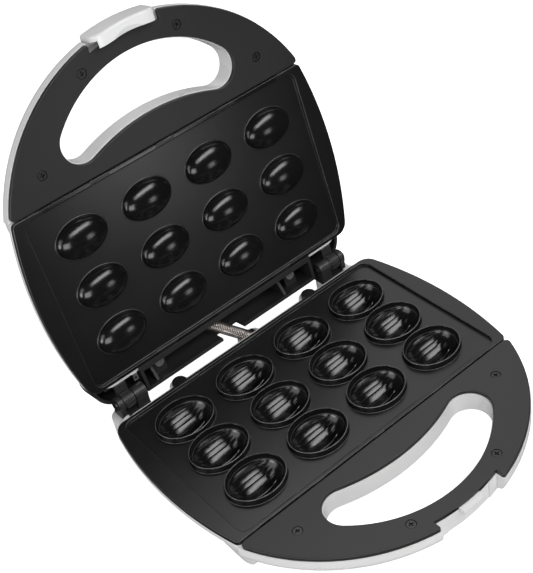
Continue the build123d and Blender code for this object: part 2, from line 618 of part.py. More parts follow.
def latch():
    """Clip on the lid's rim: a bowed wall with round corners, a hook with a shallow scoop, a pivot bar."""
    wide = LATCH_HALF + 3
    hook_band = rim_band(HOOK_TIP, LATCH_INNER + 0.5, wide)
    body = prism(rim_band(LATCH_INNER, LATCH_OUTER, wide), LATCH_BOTTOM - 3, LATCH_TOP + 3)
    body += prism(hook_band, LATCH_BOTTOM - 3, LATCH_BOTTOM + HOOK_THICKNESS)
    middle = (LATCH_TOP + LATCH_BOTTOM) / 2
    front = Pos(0, LATCH_PIN_Y, middle) * Box(2 * LATCH_HALF, 60, LATCH_TOP - LATCH_BOTTOM)
    front = fillet(front.edges().filter_by(Axis.Y).group_by(Axis.Z)[0], LATCH_CORNER)
    front = fillet(front.edges().filter_by(Axis.Y).group_by(Axis.Z)[-1], LATCH_TOP_CORNER)
    body &= front
    body = fillet([edge for edge in body.edges() if on_latch_face(edge)], LATCH_ROUND)
    seat = rim_band(HOOK_TIP, LATCH_INNER + 0.5, LATCH_HALF) & (Pos(0, LATCH_PIN_Y - 5) * Rectangle(60, 10))
    body += prism(seat, LATCH_PIN_Z - 2.4, LATCH_PIN_Z + 2.4)
    body += bar_x(-LATCH_HALF, LATCH_HALF, LATCH_PIN_Y, LATCH_PIN_Z, 2.6)
    scoop_level = LATCH_BOTTOM - math.sqrt(SCOOP_RADIUS**2 - SCOOP_RIM**2)
    scoop_y = LOOP_CENTRE_Y - HOOK_TIP + SCOOP_RIM - SCOOP_REACH
    body -= Pos(0, scoop_y, scoop_level) * Sphere(SCOOP_RADIUS)
    return body - bar_x(-40, 40, LATCH_PIN_Y, LATCH_PIN_Z, LATCH_PIN_RADIUS + RUNNING_GAP)


def latch_pin():
    """Steel pin through the latch and both cheeks of its seat."""
    return bar_x(-PIN_END, PIN_END, LATCH_PIN_Y, LATCH_PIN_Z, LATCH_PIN_RADIUS)


def hinge_bracket(side):
    """Base side of one hinge: a foot on the pod and two eared barrels."""
    x0, x1 = span(side, (INNER_EAR[0], OUTER_EAR[1]))
    body = level_box(x0, x1, BRACKET_FRONT, BRACKET_BACK, POD_TOP, POD_TOP + 2.4)
    for ear in (INNER_EAR, OUTER_EAR):
        e0, e1 = span(side, ear)
        body += level_box(e0, e1, HINGE_Y - 4.6, HINGE_Y + 4.6, POD_TOP, HINGE_Z)
        body += bar_x(e0, e1, HINGE_Y, HINGE_Z, EAR_RADIUS)
    return body - bar_x(x0 - 1, x1 + 1, HINGE_Y, HINGE_Z, PIN_RADIUS + RUNNING_GAP)


def hinge_knuckle(side):
    """Lid side of one hinge: a ribbed barrel on an arm that is screwed to the back of the lid's cover."""
    x0, x1 = span(side, KNUCKLE)
    body = bar_x(x0, x1, HINGE_Y, HINGE_Z, KNUCKLE_RADIUS)
    for rib in range(KNUCKLE_RIBS):
        turn = Pos(0, HINGE_Y, HINGE_Z) * Rot(360.0 * rib / KNUCKLE_RIBS, 0, 0)
        body += turn * level_box(x0 + 1.0, x1 - 1.0, -0.5, 0.5, KNUCKLE_RADIUS - 1, KNUCKLE_RADIUS + 0.7)
    body += level_box(x0, x1, BODY_BACK, HINGE_Y, 1.8, HINGE_Z + KNUCKLE_RADIUS)
    p0, p1 = span(side, KNUCKLE_PLATE)
    body += level_box(p0, p1, BODY_BACK, BODY_BACK + 2.6, KNUCKLE_PLATE_FOOT, KNUCKLE_PLATE_TOP)
    body += level_box(x0, x1, BODY_BACK, BODY_BACK + 2.6, 1.8, KNUCKLE_PLATE_TOP)
    body -= bar_x(x0 - 1, x1 + 1, HINGE_Y, HINGE_Z, PIN_RADIUS + RUNNING_GAP)
    for x in KNUCKLE_SCREWS_X:
        body -= Pos(side * x, BODY_BACK, KNUCKLE_SCREW_Z) * Rot(90, 0, 0) * Cylinder(1.7, 20)
    return body


def knuckle_screws():
    """Four screws that hold the two knuckles to the lid's cover."""
    screws = []
    for side in (-1, 1):
        for x in KNUCKLE_SCREWS_X:
            screw = phillips_screw(0, 0, 1.7, 7.0, head_radius=2.6, shank_radius=1.4)
            screws.append(Pos(side * x, BODY_BACK + 2.6, KNUCKLE_SCREW_Z) * Rot(-90, 0, 0) * screw)
    return screws


def hinge_pin(side):
    """Steel pin with a round head at its outer end."""
    x0, x1 = span(side, (INNER_EAR[0] - 0.8, OUTER_EAR[1] + 0.2))
    body = bar_x(x0, x1, HINGE_Y, HINGE_Z, PIN_RADIUS)
    h0, h1 = span(side, (OUTER_EAR[1], OUTER_EAR[1] + PIN_HEAD))
    return body + bar_x(h0, h1, HINGE_Y, HINGE_Z, PIN_HEAD_RADIUS)


def coil_axis():
    """Unit vector along the conduit."""
    return (COIL_END - COIL_START).normalized()


def coil_cylinder(origin, start, end, radius):
    """A cylinder along the conduit's axis, between two distances from a point of it."""
    plane = Plane(origin=origin + coil_axis() * start, z_dir=coil_axis())
    return plane * Pos(0, 0, (end - start) / 2) * Cylinder(radius, end - start)


def coil_point(plane, turns, radius, rise):
    """Point and tangent of the helix after a number of turns."""
    angle = 2 * math.pi * turns
    height = rise + COIL_PITCH * turns
    point = plane.from_local_coords(Vector(radius * math.cos(angle), radius * math.sin(angle), height))
    along = Vector(-radius * math.sin(angle), radius * math.cos(angle), COIL_PITCH / (2 * math.pi))
    tangent = (plane.from_local_coords(along) - plane.origin).normalized()
    return point, tangent


def biarc(start, start_way, end, end_way):
    """Two arcs from start to end that meet with one tangent and leave along the given ways."""
    chord = end - start
    ways = start_way + end_way
    square = 2 * (1 - start_way.dot(end_way))
    mixed = chord.dot(ways)
    if abs(square) < 1e-9:
        reach = chord.dot(chord) / (4 * chord.dot(end_way))
    else:
        reach = (-mixed + math.sqrt(mixed * mixed + square * chord.dot(chord))) / square
    middle = (start + start_way * reach + end - end_way * reach) * 0.5
    way = (end - end_way * reach - start - start_way * reach).normalized()
    return [TangentArc(start, middle, tangent=start_way), TangentArc(middle, end, tangent=way)]


def conduit_coil():
    """The close-wound metal conduit as one unbroken tube, its two ends square to the bushes."""
    length = (COIL_END - COIL_START).length
    plane = Plane(origin=COIL_START, z_dir=coil_axis())
    margin = 2.0
    turns = round((length - 2 * margin) / COIL_PITCH * 4) / 4
    margin = (length - turns * COIL_PITCH) / 2
    axis = coil_axis()
    first, first_way = coil_point(plane, 0.25, COIL_RADIUS, margin)
    start_foot = plane.from_local_coords(Vector(COIL_RADIUS, 0, 0))
    start_neck = start_foot + axis * COIL_WIRE
    edges = [Line(start_foot, start_neck)]
    edges += biarc(start_neck, axis, first, first_way)
    steps = int(round((turns - 0.5) * 4))
    at, way = first, first_way
    gap_samples = [coil_point(plane, 0.25 + step / 4, COIL_RADIUS, margin)[0] for step in range(steps + 1)]
    for step in range(1, steps + 1):
        after, after_way = coil_point(plane, 0.25 + step / 4, COIL_RADIUS, margin)
        edges += biarc(at, way, after, after_way)
        at, way = after, after_way
    last_angle = 2 * math.pi * turns
    end_foot = plane.from_local_coords(
        Vector(COIL_RADIUS * math.cos(last_angle), COIL_RADIUS * math.sin(last_angle), length - 0.1)
    )
    end_neck = end_foot - axis * COIL_WIRE
    edges += biarc(at, way, end_neck, axis)
    edges.append(Line(end_neck, end_foot))
    path = Wire(edges)
    section = Plane(origin=start_foot, z_dir=axis) * Circle(COIL_WIRE / 2)
    coil = sweep(section, path=path)
    least = min(
        (gap_samples[i] - gap_samples[j]).length
        for i in range(len(gap_samples))
        for j in range(i + 3, min(i + 6, len(gap_samples)))
    )
    print("conduit turns", turns, "least gap to itself", round(least - COIL_WIRE, 2))
    print("conduit volume", round(coil.volume, 1), "section x length",
          round(math.pi * (COIL_WIRE / 2) ** 2 * path.length, 1))
    return coil


def conduit_wires():
    """Three insulated wires inside the conduit, straight from bush to bush."""
    length = (COIL_END - COIL_START).length
    plane = Plane(origin=COIL_START, z_dir=coil_axis())
    wires = []
    for index in range(3):
        angle = math.radians(120 * index)
        seat = plane * Pos(WIRE_CIRCLE * math.cos(angle), WIRE_CIRCLE * math.sin(angle), length / 2)
        wires.append(seat * Cylinder(WIRE_RADIUS, length - 0.4))
    return wires


def conduit_bush(origin, reach):
    """Collar that holds one end of the conduit."""
    low, high = sorted((0.0, reach))
    return coil_cylinder(origin, low, high, BUSH_RADIUS)


def heating_element():
    """Bent tube under the plate with a cold pin at each end."""
    half, end = ELEMENT_HALF, ELEMENT_END
    left = [(-end, ELEMENT_BACK), (-half, ELEMENT_BACK), (-half, ELEMENT_FRONT)]
    right = [(half, ELEMENT_FRONT), (half, ELEMENT_BACK), (end, ELEMENT_BACK)]
    level = -ELEMENT_LEVEL
    path = FilletPolyline(*[(x, y, level) for x, y in left + right], radius=ELEMENT_BEND)
    section = Plane(origin=(-end, ELEMENT_BACK, level), z_dir=(-1, 0, 0)) * Circle(ELEMENT_RADIUS)
    tube = sweep(section, path=path)
    for side in (-1, 1):
        tube += bar_x(*span(side, (6.0, end)), ELEMENT_BACK, level, 1.2)
    return tube


def reflector():
    """Bright sheet under the element with a turned-up rim."""
    level = -REFLECTOR_LEVEL
    middle = Pos(0, REFLECTOR_Y)
    face = middle * RectangleRounded(REFLECTOR_X_SIZE, REFLECTOR_Y_SIZE, REFLECTOR_CORNER)
    body = prism(face, level - REFLECTOR_SHEET, level)
    inner_x = REFLECTOR_X_SIZE - 2 * REFLECTOR_SHEET
    inner_y = REFLECTOR_Y_SIZE - 2 * REFLECTOR_SHEET
    inner_corner = REFLECTOR_CORNER - REFLECTOR_SHEET
    rim = face - middle * RectangleRounded(inner_x, inner_y, inner_corner)
    body += prism(rim, level, level + REFLECTOR_RIM)
    for x, y in STUDS:
        body -= post(x, y, level - 3, level + 3, 1.8)
    return body


def reflector_screws():
    """Four screws up through the reflector into the plate's studs."""
    seat = -REFLECTOR_LEVEL - REFLECTOR_SHEET
    screws = []
    for x, y in STUDS:
        screw = Rot(180, 0, 0) * phillips_screw(0, 0, 1.6, 9.0, head_radius=3.0, shank_radius=1.25, head=1.6)
        screws.append(Pos(x, y, seat) * screw)
    return screws


def base_screws():
    """Four screws that close the base cover onto its posts from below."""
    screws = []
    for x, y in STUDS:
        screw = Rot(180, 0, 0) * phillips_screw(0, 0, 1.8, 7.0, head_radius=3.3, shank_radius=1.75, head=1.8)
        screws.append(Pos(x, y, -BODY_DEPTH + 6) * screw)
    return screws


def feet():
    """Four rubber feet let into the base cover."""
    made = []
    for x, y in FOOT_PLACES:
        foot = post(x, y, -PARTING_HEIGHT, -BODY_DEPTH + FOOT_TOP, FOOT_RADIUS)
        foot = chamfer(foot.edges().group_by(Axis.Z)[0], 1.0)
        foot -= post(x, y, -PARTING_HEIGHT - 1, -PARTING_HEIGHT + 3.5, 3.4)
        foot -= post(x, y, -PARTING_HEIGHT, 0, 1.5)
        made.append(foot)
    return made


def foot_screws():
    """One screw up through each foot."""
    screws = []
    for x, y in FOOT_PLACES:
        screw = Rot(180, 0, 0) * phillips_screw(0, 0, 1.6, 9.0, head_radius=3.0, shank_radius=1.3, head=1.6)
        screws.append(Pos(x, y, -PARTING_HEIGHT + 3.5) * screw)
    return screws


def thermostat():
    """Round bimetal thermostat under the reflector with two tabs."""
    top = -REFLECTOR_LEVEL - REFLECTOR_SHEET
    body = post(0, -35, top - 7, top, 8.5)
    for side in (-1, 1):
        body += level_box(side * 10.5 - 4, side * 10.5 + 4, -38, -32, top - 6.2, top - 5.4)
    return body


def thermal_fuse():
    """Cut-out in its heat-proof sleeve, lying on the reflector's back."""
    return bar_x(18, 46, -35, -REFLECTOR_LEVEL - REFLECTOR_SHEET - 2.4, 2.4)


def terminal_block():
    """Three-way terminal block on the base's floor, ahead of the cord gland."""
    floor = -BODY_DEPTH + WALL
    body = level_box(24, 54, -4, 10, floor, floor + 10)
    for index in range(3):
        body -= post(30 + 9 * index, 3, floor + 5, floor + 12, 2.6)
    return body


def lower_wiring():
    """Insulated wires from the block to the fuse and up to the conduit."""
    floor = -BODY_DEPTH + WALL
    wires = []
    for index in range(3):
        x = 30 + 9 * index
        start = Vector(x, 10, floor + 4)
        back = 20.0 - 2.8 * index
        corner = Vector(x, back, floor + 4)
        side = Vector(9.0 + 2.6 * index, back, floor + 4)
        path = FilletPolyline(start, corner, side, radius=2.4)
        section = Plane(origin=start, z_dir=(0, 1, 0)) * Circle(WIRE_RADIUS)
        wires.append(sweep(section, path=path))
    return wires


def earth_tab():
    """Bright angled tab on the back of the lid's cover for the earth wire."""
    body = level_box(*EARTH_TAB, BODY_BACK, BODY_BACK + EARTH_SHEET, EARTH_BOTTOM, EARTH_TOP)
    body += level_box(*EARTH_TAB, BODY_BACK, BODY_BACK + EARTH_REACH, EARTH_BOTTOM, EARTH_BOTTOM + EARTH_SHEET)
    return body - post(sum(EARTH_TAB) / 2, BODY_BACK + EARTH_HOLE_Y, 0, 6, EARTH_HOLE_RADIUS)


def rear_screws():
    """Two screws that hold the shroud to the lid's cover."""
    screws = []
    for x in REAR_BOSSES_X:
        screw = Rot(180, 0, 0) * phillips_screw(0, 0, 1.7, 12.0, head_radius=3.2, shank_radius=1.35)
        screws.append(Pos(x, REAR_BOSS_Y, REAR_TAB_TOP - 2.5) * screw)
    return screws


def save(name, shape):
    """Write one node."""
    if isinstance(shape, list):
        shape = Compound(children=shape)
    export_step(shape, "parts/" + name + ".step")


def main():
    os.makedirs("parts", exist_ok=True)
    core = cover_core()
    frame = handle_frame()
    shared_reflector = reflector()
    shared_element = heating_element()
    lift = Pos(0, 0, LID_GAP)
    base = {
        "lower_cover": lower_cover(core),
        "lower_handle_frame": frame,
        "lower_plate": lower_plate(),
        "lower_frame_screws": frame_screws(),
        "lower_heating_element": shared_element,
        "lower_reflector": shared_reflector,
        "lower_reflector_screws": reflector_screws(),
        "base_screws": base_screws(),
        "feet": feet(),
        "foot_screws": foot_screws(),
        "thermostat": thermostat(),
        "thermal_fuse": thermal_fuse(),
        "terminal_block": terminal_block(),
        "lower_wiring": lower_wiring(),
        "cord_gland": cord_gland(),
        "hinge_bracket_left": hinge_bracket(-1),
        "hinge_bracket_right": hinge_bracket(1),
        "hinge_pin_left": hinge_pin(-1),
        "hinge_pin_right": hinge_pin(1),
        "conduit_bush_lower": conduit_bush(COIL_START, -BUSH_LENGTH),
        "conduit_coil": conduit_coil(),
        "conduit_wires": conduit_wires(),
    }
    lid = {
        "upper_cover": upper_cover(core),
        "upper_handle_frame": lift * flip(frame),
        "upper_plate": upper_plate(),
        "upper_frame_screws": [lift * flip(screw) for screw in frame_screws()],
        "upper_heating_element": flip(shared_element),
        "upper_reflector": flip(shared_reflector),
        "upper_reflector_screws": [flip(screw) for screw in reflector_screws()],
        "upper_rear_screws": rear_screws(),
        "earth_tab": earth_tab(),
        "lamp_holder": lamp_holder(),
        "power_lamp": lamp_bulb(-1),
        "ready_lamp": lamp_bulb(1),
        "power_lens": lamp_lens(-1),
        "ready_lens": lamp_lens(1),
        "hinge_knuckle_left": hinge_knuckle(-1),
        "hinge_knuckle_right": hinge_knuckle(1),
        "knuckle_screws": knuckle_screws(),
        "rear_shroud": rear_shroud(),
        "latch": latch(),
        "latch_pin": latch_pin(),
    }
    for name, shape in base.items():
        save(name, [place(piece) for piece in shape] if isinstance(shape, list) else place(shape))
    for name, shape in lid.items():
        save(name, [open_lid(piece) for piece in shape] if isinstance(shape, list) else open_lid(shape))
    save("conduit_bush_upper", place(conduit_bush(COIL_END, BUSH_LENGTH)))


main()
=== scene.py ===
import json
import math

import bmesh
import bpy
from mathutils import Matrix, Vector


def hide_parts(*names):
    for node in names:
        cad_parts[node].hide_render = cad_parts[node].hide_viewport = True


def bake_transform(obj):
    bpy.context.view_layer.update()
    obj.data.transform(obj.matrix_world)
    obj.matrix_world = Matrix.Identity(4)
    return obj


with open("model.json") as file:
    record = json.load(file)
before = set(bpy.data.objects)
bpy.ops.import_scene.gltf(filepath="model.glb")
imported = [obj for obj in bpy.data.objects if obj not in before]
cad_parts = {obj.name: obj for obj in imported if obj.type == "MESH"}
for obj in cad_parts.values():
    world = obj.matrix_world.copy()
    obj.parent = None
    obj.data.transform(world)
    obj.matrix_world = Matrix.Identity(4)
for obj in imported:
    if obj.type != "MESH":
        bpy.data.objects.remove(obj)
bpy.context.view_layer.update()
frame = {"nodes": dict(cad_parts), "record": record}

# Middle of the rear row of nuts at the parting plane, in the shared frame, in metres
SHIFT = Vector((0.0, 0.03359, 0.046))

# Sizes repeated from the CAD source, in metres
NUT_PITCH_X = 0.048
NUT_PITCH_Y = 0.0349
CUP_HALF_LENGTH = 0.0188
CUP_HALF_WIDTH = 0.0155
CUP_DEPTH = 0.012
CREST_HEIGHT = 0.0018
CUP_CREST = SHIFT.z + CREST_HEIGHT
LOWER_FIELD_DROP = 0.0022
DOME_HALF_LENGTH = 0.0176
DOME_HALF_WIDTH = 0.0124
LID_GAP = 0.0004
UPPER_FIELD_DROP = 0.0019
HINGE = Vector((0.0, 0.042, 0.0002)) + SHIFT
LID_OPEN_DEGREES = 102.0
COIL_START = Vector((0.0094, 0.040, -0.0139)) + SHIFT
COIL_END = Vector((-0.018, 0.055, 0.0106)) + SHIFT
COIL_RADIUS = 0.0036
COIL_WIRE = 0.0008
COIL_PITCH = 0.0013

# The conduit's wires and the steps that draw one turn
WIRE_COUNT = 3
WIRE_THICKNESS = 0.0021
WIRE_OFFSET = 0.0013
WIRE_LEAST_TURNS = 0.4
STEPS_PER_TURN = 16

# Camera, solved from the photograph's outlines
CAMERA_AZIMUTH = -31.92
CAMERA_ELEVATION = 39.67
CAMERA_ROLL = -11.91
CAMERA_AT = Vector((-0.28613, -0.46804, 0.51297)) + SHIFT
FOCAL_PIXELS = 1171.2
PICTURE_HEIGHT = 573

# Flutes in a cup: part of the quarter turn from its keel to its rim, and height there
FLUTE_STOPS = (
    (0.0, 0.12),
    (0.03, 0.0),
    (0.205, 0.95),
    (0.235, 0.5),
    (0.36, 0.88),
    (0.385, 0.66),
    (0.56, 0.86),
    (0.59, 0.86),
    (0.61, 0.76),
    (0.63, 0.86),
    (0.655, 0.76),
    (0.675, 0.86),
    (0.7, 0.76),
    (0.72, 0.86),
)
PLAIN_HEIGHT = 0.86

# Where the flutes fade out along a cup, in its half length, and below its crest, in its depth
FLUTES_END = 0.78
FLUTES_FULL = 0.4
FLUTES_TOP = 0.05

# Depth of the plates' relief, and the flecks' share of it
RELIEF_DEPTH = 0.0022
FLECK_SHARE = 0.012

# Squared distance from a nut's middle, where its own edge is one
CELL_LIMIT = 1.35
CREST_MIDDLE = 1.055

# Whole cells added so that a cell's fraction is never of a negative number
CELLS_ADDED = 100.0
GRID_MARGIN = 0.001

# Bands in metres: painted highlight lines at crests, rims and feet (at the crests also thin worn coating),
# and the field itself
CREST_BAND = 0.0002
EDGE_START = 0.00008
EDGE_END = 0.0006
FOOT_START = 0.00004
CUP_FOOT_END = 0.0003
DOME_FOOT_END = 0.0004
FIELD_BAND = 0.0003

# How strong the painted highlight lines are in each band; at the crests this is also thin worn coating
CREST_WEAR_AND_HIGHLIGHT = 0.8
EDGE_HIGHLIGHT = 0.4
CUP_FOOT_HIGHLIGHT = 0.4
DOME_FOOT_HIGHLIGHT = 0.25
HIGHLIGHT_LEVEL = 1.6
HIGHLIGHT_BREAK_SCALE = 300.0

# Studio
FLOOR_GLOW = 0.85
FLOOR_HALF = 6.0
WORLD_LEVEL = 0.48
TENT_RADIUS = 2.4
TENT_BOTTOM = 0.002
TENT_GAP_AZIMUTH = 40.0
TENT_GAP_ELEVATION = 42.0
TENT_GAP_DISTANCE = 2.05
LID_MIDDLE = Vector((0.0, 0.1, 0.15))
NUTS_MIDDLE = Vector((0.0, 0.0, 0.046))
SIDE_AIM = Vector((0.0, 0.0, 0.06))


class Signal:
    """A socket of a shader tree; Python's operators on it add Math nodes."""

    def __init__(self, tree, socket):
        self.tree = tree
        self.socket = socket

    def maths(self, operation, *others):
        """A Math node on this signal and any others."""
        return maths(self.tree, operation, self, *others)

    def __add__(self, other):
        return self.maths("ADD", other)

    def __radd__(self, other):
        return self.maths("ADD", other)

    def __sub__(self, other):
        return self.maths("SUBTRACT", other)

    def __rsub__(self, other):
        return maths(self.tree, "SUBTRACT", other, self)

    def __mul__(self, other):
        return self.maths("MULTIPLY", other)

    def __rmul__(self, other):
        return self.maths("MULTIPLY", other)

    def __truediv__(self, other):
        return self.maths("DIVIDE", other)

    def __abs__(self):
        return self.maths("ABSOLUTE")

    def __lt__(self, other):
        return self.maths("LESS_THAN", other)

    def __gt__(self, other):
        return self.maths("GREATER_THAN", other)


def maths(tree, operation, *values):
    """A Math node on signals and numbers."""
    node = tree.nodes.new("ShaderNodeMath")
    node.operation = operation
    for index, value in enumerate(values):
        plug(tree, node.inputs[index], value)
    return Signal(tree, node.outputs[0])


def plug(tree, socket, value):
    """Link a signal to a socket, or set the socket's value."""
    if isinstance(value, Signal):
        tree.links.new(value.socket, socket)
    else:
        socket.default_value = value


def band(value, low, high):
    """One where a signal lies between two numbers."""
    return (value > low) * (value < high)


class Finish:
    """A material under construction."""

    def __init__(self, name):
        self.material = bpy.data.materials.new(name)
        self.material.use_nodes = True
        self.tree = self.material.node_tree
        self.shader = self.tree.nodes["Principled BSDF"]

    def add(self, kind, settings=None, sockets=None, output=0):
        """A node of any kind: its settings first, then its sockets' values or links."""
        node = self.tree.nodes.new(kind)
        for key, value in (settings or {}).items():
            if key == "stops":
                ramp = node.color_ramp
                while len(ramp.elements) < len(value):
                    ramp.elements.new(0.5)
                for element, (place, shade) in zip(ramp.elements, value):
                    element.position = place
                    element.color = (shade, shade, shade, 1.0)
            elif key == "ramp":
                node.color_ramp.interpolation = value
            else:
                setattr(node, key, value)
        for key, value in (sockets or {}).items():
            plug(self.tree, node.inputs[key], value)
        return Signal(self.tree, node.outputs[output])

    def place(self):
        """Object coordinates."""
        return self.add("ShaderNodeTexCoord", output="Object")

    def axes(self):
        """Object coordinates as three signals."""
        split = self.add("ShaderNodeSeparateXYZ", None, {"Vector": self.place()})
        return [Signal(self.tree, socket) for socket in split.socket.node.outputs]

    def noise(self, scale, detail=3.0, at=None):
        """Noise value with its features about 1 / scale metres wide."""
        sockets = {"Vector": at or self.place(), "Scale": scale, "Detail": detail}
        return self.add("ShaderNodeTexNoise", None, sockets, "Fac")

    def blend(self, amount, first, second):
        """A mix of two colours, each a signal or a fixed colour."""
        return self.add("ShaderNodeMix", {"data_type": "RGBA"}, {0: amount, 6: first, 7: second}, 2)

    def tint(self, amount, dark, light):
        """A colour between two fixed ones, by a signal."""
        return self.blend(amount, (*dark, 1.0), (*light, 1.0))

    def bump(self, height, distance, edge=0.0):
        """A Bump node, over softened edges where edge is a radius in metres."""
        sockets = {"Height": height, "Distance": distance, "Strength": 1.0}
        if edge:
            sockets["Normal"] = self.add("ShaderNodeBevel", {"samples": 4}, {"Radius": edge})
        return self.add("ShaderNodeBump", None, sockets)

    def done(self, **sockets):
        """Set the Principled shader's sockets, named with underscores for spaces."""
        for key, value in sockets.items():
            plug(self.tree, self.shader.inputs[key.replace("_", " ")], value)
        return self.material


def white_moulding():
    """Gloss white moulded plastic with a faint flow pattern."""
    finish = Finish("white_moulding")
    flow = finish.noise(scale=30.0, detail=2.0)
    grain = finish.noise(scale=1400.0, detail=2.0)
    return finish.done(
        Base_Color=finish.tint(flow, (0.78, 0.785, 0.785), (0.86, 0.86, 0.855)),
        Roughness=0.24 + flow * 0.12,
        Normal=finish.bump(grain, distance=0.00002, edge=0.0005),
        IOR=1.49,
    )


def black_moulding():
    """Satin black moulded plastic with a fine spark texture."""
    finish = Finish("black_moulding")
    spark = finish.noise(scale=2600.0, detail=2.0)
    flow = finish.noise(scale=22.0)
    return finish.done(
        Base_Color=finish.tint(flow, (0.015, 0.0144, 0.0145), (0.021, 0.0202, 0.0202)),
        Roughness=0.36 + flow * 0.08 + spark * 0.06,
        Normal=finish.bump(spark, distance=0.00004, edge=0.0004),
        IOR=1.5,
    )


def plate_coating(name, is_lower):
    """Black non-stick coating with painted highlight lines along crests, edges and feet, at the crests also
    thin worn coating; the lower plate's cups carry flutes.
    """
    finish = Finish(name)
    fleck = finish.noise(scale=1800.0, detail=2.0)
    cloud = finish.noise(scale=26.0)
    height = fleck * FLECK_SHARE
    if is_lower:
        height = height + cup_flutes(finish)
        highlight_and_wear, nuts = lower_highlight_and_cup_masks(finish)
    else:
        highlight_and_wear, nuts = upper_highlight_and_dome_masks(finish)
    coat = finish.tint(cloud, (0.005, 0.0048, 0.005), (0.01, 0.0097, 0.0097))
    # Pale colour blended in along crests, edges and feet: painted highlight lines standing in for the glint
    # of rounded edges, at the crests also thin worn coating
    highlight_colour = finish.tint(fleck, (0.13, 0.127, 0.126), (0.24, 0.236, 0.234))
    return finish.done(
        Base_Color=finish.blend(highlight_and_wear, coat, highlight_colour),
        Roughness=0.25 - nuts * 0.13 + cloud * 0.05 + fleck * 0.04,
        Normal=finish.bump(height, distance=RELIEF_DEPTH, edge=0.0004),
        IOR=1.5,
    )


def nut_cell(x, y, half_length, half_width):
    """Place in the nut at hand: along it and across it, where its edge is one, and one within the grid.

    y is measured from the rear row of nuts, on the lower plate or on the lid as if shut.
    """
    along = ((x / NUT_PITCH_X + CELLS_ADDED).maths("FRACT") - 0.5) * (NUT_PITCH_X / half_length)
    across = ((y / NUT_PITCH_Y + (CELLS_ADDED + 0.5)).maths("FRACT") - 0.5) * (NUT_PITCH_Y / half_width)
    return along, across, abs(x) < 2 * NUT_PITCH_X - GRID_MARGIN


def lower_highlight_and_cup_masks(finish):
    """Two masks of the lower plate: painted highlight lines at crests, feet and edges, at the crests also
    thin worn coating; and the smoother cups.
    """
    x, y, z = finish.axes()
    level = z - SHIFT.z
    along, across, in_grid = nut_cell(x, y - SHIFT.y, CUP_HALF_LENGTH, CUP_HALF_WIDTH)
    reach = along * along + across * across
    near_cup = in_grid * (reach < CELL_LIMIT)
    field = -LOWER_FIELD_DROP
    # Crest, foot and edge bands: painted highlight lines of the rounded edges, broken up by noise; at the
    # crests also thin worn coating
    crest = (level > CREST_HEIGHT - CREST_BAND) * (reach > CREST_MIDDLE) * CREST_WEAR_AND_HIGHLIGHT
    foot = band(level, field + FOOT_START, field + CUP_FOOT_END) * near_cup * CUP_FOOT_HIGHLIGHT
    edge = band(level, -EDGE_END, -EDGE_START) * (1 - near_cup) * EDGE_HIGHLIGHT
    cups = near_cup * (1 - band(level, field - FIELD_BAND, field + FIELD_BAND))
    return (crest + foot + edge) * finish.noise(HIGHLIGHT_BREAK_SCALE, detail=2.0) * HIGHLIGHT_LEVEL, cups


def upper_highlight_and_dome_masks(finish):
    """Two masks of the lid's plate: painted highlight lines at feet and edges; and the smoother domes."""
    x, y, z = finish.axes()
    turn = math.radians(LID_OPEN_DEGREES)
    out, up = y - HINGE.y, z - HINGE.z
    level = out * math.sin(turn) + up * math.cos(turn) + (HINGE.z - SHIFT.z - LID_GAP)
    shut_y = out * math.cos(turn) - up * math.sin(turn) + (HINGE.y - SHIFT.y)
    along, across, in_grid = nut_cell(x, shut_y, DOME_HALF_LENGTH, DOME_HALF_WIDTH)
    near_dome = in_grid * (along * along + across * across < CELL_LIMIT)
    field = UPPER_FIELD_DROP
    # Foot and edge bands: painted highlight lines of the rounded edges, broken up by noise
    foot = band(level, field - DOME_FOOT_END, field - FOOT_START) * near_dome * DOME_FOOT_HIGHLIGHT
    edge = band(level, EDGE_START, EDGE_END) * (1 - near_dome) * EDGE_HIGHLIGHT
    domes = near_dome * (level < field - FIELD_BAND)
    return (foot + edge) * finish.noise(HIGHLIGHT_BREAK_SCALE, detail=2.0) * HIGHLIGHT_LEVEL, domes


def cup_flutes(finish):
    """Height by the angle about a cup's long axis: a deep keel, two flutes and three fine lines."""
    x, y, z = finish.axes()
    along, across, in_grid = nut_cell(x, y - SHIFT.y, CUP_HALF_LENGTH, CUP_HALF_WIDTH)
    below = (CUP_CREST - z) / CUP_DEPTH
    angle = abs(across).maths("ARCTAN2", below) * (2 / math.pi)
    flutes = finish.add("ShaderNodeValToRGB", {"stops": FLUTE_STOPS, "ramp": "LINEAR"}, {"Fac": angle})
    middle = finish.add(
        "ShaderNodeMapRange",
        {"interpolation_type": "SMOOTHSTEP"},
        {"Value": abs(along), "From Min": FLUTES_END, "From Max": FLUTES_FULL, "To Min": 0.0, "To Max": 1.0},
    )
    cup = middle * (below > FLUTES_TOP) * in_grid
    return flutes * cup + (1 - cup) * PLAIN_HEIGHT


def hinge_enamel():
    """Black enamel on the cast hinges, a little uneven."""
    finish = Finish("hinge_enamel")
    lumps = finish.noise(scale=420.0)
    return finish.done(
        Base_Color=finish.tint(lumps, (0.012, 0.012, 0.012), (0.03, 0.03, 0.029)),
        Roughness=0.3 + lumps * 0.2,
        Normal=finish.bump(lumps, distance=0.00008, edge=0.0004),
    )


def dark_screw():
    """Black-oxide steel, rubbed brighter in places."""
    finish = Finish("dark_screw")
    rub = finish.noise(scale=900.0)
    return finish.done(
        Base_Color=finish.tint(rub, (0.02, 0.02, 0.021), (0.09, 0.088, 0.085)),
        Roughness=0.28 + rub * 0.2,
        Metallic=0.85,
        Normal=finish.bump(rub, distance=0.00003, edge=0.0002),
    )


